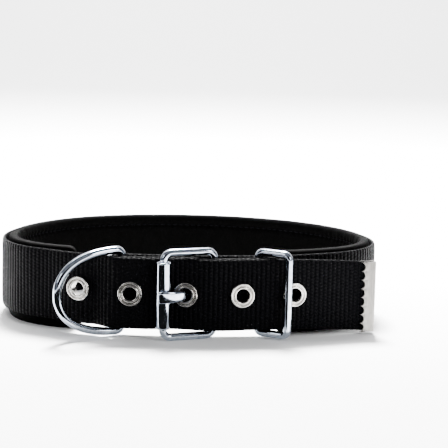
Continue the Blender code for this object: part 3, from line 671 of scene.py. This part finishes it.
def stitch_row(s, offset, height, size):
    """Stretched balls: a ball's points, scaled by size along the strap, outwards and up."""
    plan = at(s, offset)
    way = np.gradient(plan, axis=0)
    way /= np.linalg.norm(way, axis=1)[:, None]
    centre = np.column_stack((plan, np.full(len(plan), height)))
    turn = np.arange(BALL_AROUND) * math.pi / 4
    slope = np.linspace(-math.pi / 2, math.pi / 2, BALL_ALONG)[:, None]
    ball = np.stack(np.broadcast_arrays(np.sin(slope), np.cos(slope) * np.cos(turn),
                                        np.cos(slope) * np.sin(turn)), axis=-1) * size
    along = np.column_stack((way, np.zeros(len(way))))
    out = np.column_stack((way[:, 1], -way[:, 0], np.zeros(len(way))))
    points = (centre[:, None, None] + ball[None, ..., :1] * along[:, None, None]
              + ball[None, ..., 1:2] * out[:, None, None] + ball[None, ..., 2:] * UP)
    i, k = np.meshgrid(np.arange(BALL_ALONG - 1), np.arange(BALL_AROUND), indexing="ij")
    this, after, k_next = i * BALL_AROUND, (i + 1) * BALL_AROUND, (k + 1) % BALL_AROUND
    quad = np.stack((this + k, after + k, after + k_next, this + k_next), axis=-1).reshape(1, -1, 4)
    first = BALL_AROUND * BALL_ALONG * np.arange(len(s))[:, None, None]
    return new_piece("stitch_row", points.reshape(-1, 3).tolist(),
                     (quad + first).reshape(-1, 4).tolist())


stitch_s = np.arange(PAD_START + SEAM_END, LOOP_LENGTH - PAD_END - SEAM_END, STITCH_PITCH)
rows = [stitch_row(stitch_s, -PAD_THICKNESS + SEAM_SINK, z, STITCH_HALF)
        for z in (SEAM_INSET, PAD_HEIGHT - SEAM_INSET)]
dress(merged("pad_stitches", rows), "collar", "pad_fabric", thread)
print("stitches in a row:", len(stitch_s))

# %% [markdown]
# The D-ring, the buckle's frame and the keeper are bent from round wire and welded shut. A curve with a
# bevel would do, but its points are not in even steps. Here each outline is drawn flat, from lines,
# arcs and a full bow, resampled, and a circle is carried round it.


# %% Wire outlines
BOW_POWER = 2.2                                     # above 2, so the D is fuller than half an ellipse


def evened(outline, count):
    """A closed outline resampled to equal steps."""
    closed = np.vstack((outline, outline[:1]))
    length = np.concatenate(([0.0], np.cumsum(np.linalg.norm(np.diff(closed, axis=0), axis=1))))
    even = np.linspace(0, length[-1], count, endpoint=False)
    return np.stack([np.interp(even, length, closed[:, k]) for k in (0, 1)], axis=1)


def arc(centre, radius, start, end, steps=24):
    """Points on an arc, angles in quarter turns."""
    turn = np.linspace(start, end, steps) * math.pi / 2
    return np.array(centre) + radius * np.stack((np.cos(turn), np.sin(turn)), axis=1)


def frame_outline(reach, height, corner):
    """A rectangle with round corners, from its back bar at 0 to its front bar at reach."""
    near, far, top = corner, reach - corner, height / 2 - corner
    return np.vstack((arc((far, top), corner, 0, 1), arc((near, top), corner, 1, 2),
                      arc((near, -top), corner, 2, 3), arc((far, -top), corner, 3, 4)))


def d_outline(reach, height, corner):
    """A straight bar with two small corners, closed by half a superellipse."""
    turn = np.linspace(math.pi / 2, -math.pi / 2, 160)[1:-1]
    bow = np.stack((corner + (reach - corner) * np.cos(turn) ** (2 / BOW_POWER),
                    np.sign(turn) * np.abs(np.sin(turn)) ** (2 / BOW_POWER) * height / 2), axis=1)
    return np.vstack((arc((corner, height / 2 - corner), corner, 2, 1), bow,
                      arc((corner, corner - height / 2), corner, -1, -2)))


dee_outline = d_outline(D_REACH, WEBBING_WIDTH + 2 * D_PLAY + D_WIRE, D_CORNER)
print("D outline in mm:", np.round(np.ptp(dee_outline, axis=0) * 1000, 1))

# %% [markdown]
# Each wire stands in an upright plane through its bar. The buckle reaches from its heel bar to the
# roller, and the D-ring and the keeper lean out at the angles of the photograph. Bars and joints share
# their places with the solid model, so each piece turns about its own bar.


# %% Wire pieces
def wire(name, outline, axis, way, radius, sides=24, count=260):
    """A circle of the wire's radius carried round the outline, in the upright plane through way."""
    outline = evened(outline, count)
    flat = np.roll(outline, -1, axis=0) - np.roll(outline, 1, axis=0)
    flat /= np.linalg.norm(flat, axis=1)[:, None]
    way = np.array([way[0], way[1], 0.0])
    cross = np.cross(way, UP)
    centre = axis + outline[:, :1] * way + outline[:, 1:] * UP
    spread = flat[:, 1:] * way - flat[:, :1] * UP
    turn = np.arange(sides) * 2 * math.pi / sides
    ring = np.cos(turn)[None, :, None] * spread[:, None] + np.sin(turn)[None, :, None] * cross
    return surface(name, centre[:, None] + radius * ring, loop=True)


def plan_way(s, angle):
    """Plan direction at s: angle 0 along the strap, a right angle outwards."""
    near = at(np.array([s - NEAR, s + NEAR]), 0.0)
    tangent = (near[1] - near[0]) / np.linalg.norm(near[1] - near[0])
    return tangent * math.cos(angle) + np.array([tangent[1], -tangent[0]]) * math.sin(angle)


heel, nose = level(0.0, HEEL_OFFSET)[0], level(-NOSE_BACK, NOSE_OFFSET)[0]
d_axis, keeper_axis = level(-D_BAR_BACK, D_BAR_OFFSET)[0], level(KEEPER_AT, KEEPER_OFFSET)[0]
d_ring = wire("dee", dee_outline, d_axis, plan_way(-D_BAR_BACK, math.pi - D_REST_ANGLE), D_WIRE / 2)
reach = np.linalg.norm((nose - heel)[:2])
buckle_height = WEBBING_WIDTH + 2 * BUCKLE_PLAY + BUCKLE_WIRE
buckle = wire("frame_wire", frame_outline(reach, buckle_height, BUCKLE_CORNER), heel,
              (nose - heel)[:2] / reach, BUCKLE_WIRE / 2)
keeper_height = WEBBING_WIDTH + 2 * KEEPER_PLAY + KEEPER_WIRE
keeper = wire("keeper_wire", frame_outline(KEEPER_REACH, keeper_height, KEEPER_CORNER), keeper_axis,
              plan_way(KEEPER_AT, KEEPER_ANGLE), KEEPER_WIRE / 2)
dress(d_ring, "leash_ring", "chrome", chrome, "d_ring")
dress(buckle, "collar", "chrome", chrome, "buckle_frame")
dress(keeper, "keeper", "chrome", chrome, "keeper_loop")

# %% [markdown]
# The roller is a piece of tube with its ends rolled in, so that it turns freely and has no sharp edge.
# It is a turned shape: a closed profile of radius and height, spun about an axis. A plain cylinder
# has hard ends. Several rings between its ends keep its wall straight where light is reflected.


# %% Turned shapes and the roller
ROLLER_LIP, LIP_TURN, LIP_STEPS = 0.0006, 1.6, 8    # the rolled end: radius, quarter turns and points
WALL_MARGIN, WALL_RINGS = 1.3, 12


def turned(name, profile, centre, axis, sides=64):
    """Spins a closed profile of (radius, height) about the axis."""
    across = np.cross(axis, UP) if abs(axis[2]) < 0.5 else np.array([1.0, 0.0, 0.0])
    across = across / np.linalg.norm(across)
    third = np.cross(axis, across)
    turn = np.arange(sides) * 2 * math.pi / sides
    radial = np.cos(turn)[:, None] * across + np.sin(turn)[:, None] * third
    grid = centre + radial[:, None] * profile[None, :, :1] + profile[None, :, 1:] * axis
    return surface(name, grid, loop=True)


bore, outside, half = BUCKLE_WIRE / 2 + CLEARANCE, ROLLER_DIAMETER / 2, ROLLER_LENGTH / 2
margin = WALL_MARGIN * ROLLER_LIP
wall = np.linspace(-half + margin, half - margin, WALL_RINGS)
low_end = arc((outside - ROLLER_LIP, -half + ROLLER_LIP), ROLLER_LIP, -LIP_TURN, 0, LIP_STEPS)
high_end = arc((outside - ROLLER_LIP, half - ROLLER_LIP), ROLLER_LIP, 0, LIP_TURN, LIP_STEPS)
profile = np.vstack(([[bore, 0.0]], low_end, np.column_stack((np.full(WALL_RINGS, outside), wall)),
                     high_end))
roller = turned("roller", profile, nose, UP)
dress(roller, "collar", "chrome", chrome, "buckle_roller")

# %% [markdown]
# An eyelet is two pressings: a flanged barrel pushed in from the front, and a washer behind, over which
# the barrel is rolled. From the front it shows a round bead, a groove and the lip of its mouth. The
# same spun profile serves all five, and the outer layer gives each its place and direction.


# %% The eyelets
WASHER_ROUND = 0.0003
BEAD_ROUND, BEAD_LIFT, BEAD_START = 0.00050, 0.00016, -0.15
GROOVE_RIM, GROOVE_MOUTH, GROOVE_LIFT = 0.00104, 0.00112, 0.00008   # in from the rim, out from the bore
MOUTH_ROUND, ROUND_STEPS = 0.0005, 14


def eyelet_profile():
    """Barrel, back washer, a round bead at the front rim, a groove, and the rolled lip of the mouth."""
    face, bore, rim = HALF_WEB + EYELET_SEAT, EYELET_BORE / 2, EYELET_FLANGE / 2
    top = face + EYELET_HEIGHT
    back = arc((rim - WASHER_ROUND, -face - EYELET_BACK + WASHER_ROUND), WASHER_ROUND, -1, 1, 7)
    bead = arc((rim - BEAD_ROUND, face + BEAD_LIFT), BEAD_ROUND, BEAD_START, 2.0, ROUND_STEPS)
    groove = np.array([(rim - GROOVE_RIM, face + GROOVE_LIFT),
                       (bore + GROOVE_MOUTH, face + GROOVE_LIFT)])
    lip = arc((bore + MOUTH_ROUND, top - MOUTH_ROUND), MOUTH_ROUND, 0, 2, ROUND_STEPS)
    return np.vstack(([[bore, -face - EYELET_BACK]], back, [[bore + EYELET_WALL, -face]],
                      [[bore + EYELET_WALL, face]], bead, groove, lip))


shape = eyelet_profile()
for number, (centre, axis) in enumerate(eyelet_frames(), start=1):
    eyelet = turned(f"eyelet_ring_{number}", shape, centre, axis)
    dress(eyelet, "collar", "nickel", nickel, f"eyelet_{number}")


# %% [markdown]
# The prong is a flat strip: rolled round the heel bar, cranked up through the third eyelet, and laid
# over the roller, where it is widest. It could be bent from a flat plate with a modifier, but three
# bends in a row are hard to aim. A smooth curve through a few listed places gives its side view
# instead, and a rounded rectangle is carried along it.


# %% The prong
BOX_POWER = 0.45                                    # the section: a rectangle with round edges
TIP_ROUND, TIP_CLOSED = 0.0016, 0.02                # the tip's length, and its last bit of thickness
TIP_BLUNT, TIP_NARROWS = 0.55, 0.45                 # the tip's width: what stays, and what rounds off
THICKEN, THICK_FROM, WIDEN, WIDE_FROM = 3, 1.1, 5, 3.3      # rates and starts along the path
EYE_START, EYE_END = math.radians(160), math.radians(-90)


def smooth_path(knots, per=14):
    """Catmull-Rom curve through the knots: each piece blends four neighbours with cubic weights."""
    ends = np.vstack((2 * knots[0] - knots[1], knots, 2 * knots[-1] - knots[-2]))
    t = (np.arange(per) / per)[:, None]
    pieces = [0.5 * (2 * ends[i] + (ends[i + 1] - ends[i - 1]) * t
                     + (2 * ends[i - 1] - 5 * ends[i] + 4 * ends[i + 1] - ends[i + 2]) * t ** 2
                     + (3 * ends[i] - ends[i - 1] - 3 * ends[i + 1] + ends[i + 2]) * t ** 3)
              for i in range(1, len(ends) - 2)]
    return np.vstack((*pieces, knots[-1:]))


def prong_path():
    """The prong's side view as (s, offset): eye, crank, rise through the eyelet, and tip."""
    turn = np.linspace(EYE_START, EYE_END, 40)
    eye = np.stack((EYE_RADIUS * np.cos(turn), HEEL_OFFSET + EYE_RADIUS * np.sin(turn)), axis=1)
    low = HEEL_OFFSET - EYE_RADIUS
    hole = outer_ply(np.array([-PRONG_HOLE_BACK]))[0]
    over = NOSE_OFFSET + ROLLER_DIAMETER / 2 + CLEARANCE + PRONG_THICKNESS / 2
    bend = PRONG_HOLE_BACK
    shank = smooth_path(np.array((
        (0.0, low), (-bend * 0.50, low + PRONG_EYE * 0.4), (-bend * 0.83, low + PRONG_EYE * 1.9),
        (-bend, hole - PRONG_THICKNESS * 0.3), (-bend * 1.09, hole + PRONG_THICKNESS * 1.4),
        (-(bend + NOSE_BACK) / 2, (hole + over * 3) / 4), (-NOSE_BACK, over),
        (-NOSE_BACK - ROLLER_DIAMETER * 0.30, over - PRONG_THICKNESS * 0.35))))
    return np.vstack((eye[:-1], shank))


def prong_grid(path, sides=28):
    """A superellipse section whose width and thickness grow along the path and round off at the tip."""
    share = np.linspace(0, 1, len(path))
    thick = PRONG_EYE + (PRONG_THICKNESS - PRONG_EYE) * np.clip(share * THICKEN - THICK_FROM, 0, 1)
    width = PRONG_WIDTH + (PRONG_TIP_WIDTH - PRONG_WIDTH) * np.clip(share * WIDEN - WIDE_FROM, 0, 1)
    left = np.cumsum(np.linalg.norm(np.diff(path[::-1], axis=0, prepend=path[-1:]), axis=1))[::-1]
    tip = np.sqrt(np.clip(1 - (1 - np.clip(left / TIP_ROUND, 0, 1)) ** 2, TIP_CLOSED, 1))
    turn = np.arange(sides) * 2 * math.pi / sides
    across = np.sign(np.cos(turn)) * np.abs(np.cos(turn)) ** BOX_POWER
    rise = np.sign(np.sin(turn)) * np.abs(np.sin(turn)) ** BOX_POWER
    route = level(path[:, 0], path[:, 1])
    size = np.stack((thick * tip, width * (TIP_BLUNT + TIP_NARROWS * tip)), axis=1)[:, None] / 2
    return (route[:, None] + side_of(route)[:, None] * (across * size[..., 0])[..., None]
            + UP * (rise * size[..., 1])[..., None])


prong = surface("prong", prong_grid(prong_path()))
dress(prong, "collar", "chrome", chrome, "buckle_prong")

# %% [markdown]
# The clamp is one sheet folded over the end of the strap like a U. Its free edges are stamped into
# round bites with points between them. They could be cut out of a thick plate, but a row of cuts leaves
# ragged edges. Here the sheet is a grid: one direction runs round the U, the other up the strap, and
# the free edges follow a row of arcs. Solidify then gives the sheet its thickness.


# %% The end clamp
FOLD_SHARE, FOLD_DEPTH = 0.3, 0.55                  # part of the grid that is the fold, and its depth
BITE_DEPTH = 0.92                                   # a bite's depth, as a share of half a circle
NIP, NIP_SPREAD = 0.00022, 1.1                      # how far the legs are squeezed in, and where
SHEET_SHARE = 0.8                                   # the sheet's thickness, of the solid model's


def clamp_sheet(around=49, upward=193):
    """Mid surface of the folded sheet; its free edge is cut back by a half circle at each bite."""
    end = KEEPER_AT + TAIL_LENGTH
    near = outer_route(np.array([end - 2 * NEAR, end]))
    way = near[1] - near[0]
    way[2] = 0.0
    way /= np.linalg.norm(way)
    side = np.array([way[1], -way[0], 0.0])
    rise = np.linspace(-WEBBING_WIDTH / 2, WEBBING_WIDTH / 2, upward)
    pitch = WEBBING_WIDTH / CLAMP_NOTCHES
    within = (rise + WEBBING_WIDTH / 2) / pitch % 1.0 - 0.5
    bite = np.sqrt(np.clip(0.25 - within ** 2, 0, None)) * pitch * BITE_DEPTH
    gap = HALF_WEB + CLEARANCE + CLAMP_SHEET / 2
    straight = CLAMP_LENGTH - CLAMP_SHEET - CLEARANCE - bite
    share = np.linspace(-1, 1, around)
    flat = np.clip((np.abs(share) - FOLD_SHARE) / (1 - FOLD_SHARE), 0, 1)
    turn = np.clip(share / FOLD_SHARE, -1, 1) * math.pi / 2
    nip = NIP * np.sin(math.pi * np.clip(flat * NIP_SPREAD, 0, 1))
    reach = CLEARANCE + gap * FOLD_DEPTH * np.cos(turn)[:, None] - flat[:, None] * straight[None, :]
    across = (gap - nip) * np.sin(turn)
    return (near[1] + reach[..., None] * way + across[:, None, None] * side
            + rise[None, :, None] * UP)


def open_sheet(name, grid, thickness):
    """Mesh over an open grid, thickened to both sides of its mid surface."""
    rows, cols = grid.shape[:2]
    i, k = np.meshgrid(np.arange(rows - 1), np.arange(cols - 1), indexing="ij")
    this, after = i * cols, (i + 1) * cols
    quads = np.stack((this + k, this + k + 1, after + k + 1, after + k), axis=-1)
    obj = new_piece(name, grid.reshape(-1, 3).tolist(), quads.reshape(-1, 4).tolist())
    wall = obj.modifiers.new("Sheet", "SOLIDIFY")
    wall.thickness, wall.offset, wall.use_even_offset = thickness, 0.0, True
    return obj


clamp = open_sheet("clamp_sheet", clamp_sheet(), CLAMP_SHEET * SHEET_SHARE)
dress(clamp, "collar", "satin_nickel", satin, "end_clamp")
clamp.data.set_sharp_from_angle(angle=math.radians(50))

# %% [markdown]
# The collar stands on a white sweep: a floor that curves up into a backdrop, as product photographers
# use it, so no horizon shows. A floor and a wall would meet in a line. It is one strip of points.


# %% The sweep
def sweep(width=12.0, front=-6.0, bend=1.6, radius=0.8, top=4.0):
    """Floor, quarter-circle bend and wall as one strip of points, stretched sideways."""
    turn = np.linspace(0, math.pi / 2, 24)
    curve = np.stack((bend + radius * np.sin(turn), radius - radius * np.cos(turn)), axis=1)
    side = np.vstack(([[front, 0.0]], curve, [[bend + radius, top]]))
    left, right = (np.column_stack((np.full(len(side), x), side)) for x in (-width / 2, width / 2))
    count = len(side)
    faces = [(i, i + count, i + count + 1, i + 1) for i in range(count - 1)]
    return new_piece("sweep", np.vstack((left, right)).tolist(), faces)


# Matt coated paper: it scatters light evenly, so the floor stays plain white.
paper, _, shader = finish_of("White paper", Roughness=0.9, Specular_IOR_Level=0.1)
shader.inputs["Base Color"].default_value = linear("#FCFCFC")
floor = sweep()
floor.data.materials.append(paper)
print("sweep faces:", len(floor.data.polygons))

# %% [markdown]
# The main light stands high and behind, so that a short shadow falls towards the viewer and the front
# of the black webbing stays dark. Two weak ones at the front keep its ribs readable, and the fourth
# lights the backdrop alone. One bare lamp would give a hard shadow and a single hot spot on each wire.


# %% Soft lights
def softbox(name, place, target, size, power):
    """A square area light turned towards a target."""
    data = bpy.data.lights.new(name, "AREA")
    data.size, data.energy = size, power
    lamp = bpy.data.objects.new(name, data)
    lamp.location = place
    way = np.array(target) - np.array(place)
    lamp.rotation_euler = Vector(way).to_track_quat("-Z", "Y").to_euler()
    bpy.context.scene.collection.objects.link(lamp)


MIDDLE = (0.0, 0.0, 0.02)
softbox("top", (0.0, 0.42, 0.80), MIDDLE, 0.25, 112.0)
softbox("left", (-0.65, -0.45, 0.45), MIDDLE, 0.35, 2.0)
softbox("right", (0.65, -0.50, 0.35), MIDDLE, 0.30, 5.0)
softbox("wall", (0.0, 0.35, 1.0), (0.0, 1.4, 0.5), 0.9, 170.0)
print("lights:", len(bpy.data.lights))

# %% [markdown]
# Chrome has no look of its own: in an all white room it would be white. Black cards round the set give
# it dark lines, as in a studio. They are kept out of the camera's sight and cast no shadow, and only
# reflections show them. The last one lies flat in front, where the upright roller looks.


# %% Black cards
def dark_card(name, place, width, height, turn):
    """A black panel that stands on its place and is turned about the upright axis."""
    half = width / 2
    corners = [(-half, 0, 0), (half, 0, 0), (half, 0, height), (-half, 0, height)]
    card = new_piece(name, corners, [(0, 1, 2, 3)])
    card.data.materials.append(black_cloth)
    card.location, card.rotation_euler[2] = place, turn
    card.visible_camera = card.visible_shadow = False
    return card


# Flocked card: it swallows nearly all light, so a wire shows it as a clean black band.
black_cloth, _, shader = finish_of("Black flock card", Roughness=1.0, Specular_IOR_Level=0.0)
shader.inputs["Base Color"].default_value = linear("#050505")
dark_card("card_behind_camera", (-0.05, -0.95, 0.02), 0.70, 0.60, 0.0)
dark_card("card_left", (-0.50, -0.25, 0.01), 0.22, 0.40, math.radians(65))
dark_card("card_right", (0.50, -0.30, 0.01), 0.20, 0.40, math.radians(-62))
FLAG_PLACE, FLAG_WIDTH, FLAG_REACH = (-0.09, -0.070, 0.0015), 0.26, 0.40
flag = dark_card("flag_in_front", FLAG_PLACE, FLAG_WIDTH, FLAG_REACH, 0.0)
flag.rotation_euler[0] = math.pi / 2
flag.visible_diffuse = False
print("flag lies from y, in mm:", round(FLAG_PLACE[1] * 1000), "to",
      round((FLAG_PLACE[1] - FLAG_REACH) * 1000))

# %% [markdown]
# A dim, even sky fills the shadows, as the white walls of a studio do. More lamps could do the same,
# but each would leave its own spot on the wire. It is a little cool, for the wire's bluish white.

# %% Fill light
FILL_STRENGTH = 0.36
world = bpy.data.worlds.new("studio")
world.use_nodes = True
background = world.node_tree.nodes["Background"]
background.inputs["Color"].default_value = linear("#F2F4F8")
background.inputs["Strength"].default_value = FILL_STRENGTH
bpy.context.scene.world = world
print("fill strength:", FILL_STRENGTH)

# %% [markdown]
# The camera's place, heading and focal length were fitted until the eyelets, bars and rims fell where
# the photograph shows them. It looks down only about nine degrees, so the collar is seen nearly level.
# A camera can be aimed at a target instead, but the photograph's slight roll needs three plain turns.

# %% Camera
CAMERA_PLACE = (-0.0016, -0.6220, 0.1381)
CAMERA_TURN, CAMERA_DOWN = math.radians(-1.58), math.radians(8.92)
CAMERA_ROLL = math.radians(1.28)
FOCAL_PIXELS, PHOTO_PIXELS, SENSOR_MM = 1400.0, 448.0, 36.0
data = bpy.data.cameras.new("camera")
data.sensor_width = SENSOR_MM
data.lens = SENSOR_MM * FOCAL_PIXELS / PHOTO_PIXELS
data.clip_start = 0.01
camera = bpy.data.objects.new("camera", data)
camera.matrix_world = (Matrix.Translation(CAMERA_PLACE) @ Matrix.Rotation(CAMERA_TURN, 4, "Z")
                       @ Matrix.Rotation(math.pi / 2 - CAMERA_DOWN, 4, "X")
                       @ Matrix.Rotation(CAMERA_ROLL, 4, "Z"))
bpy.context.scene.collection.objects.link(camera)
bpy.context.scene.camera = camera
print("focal length in mm:", data.lens)
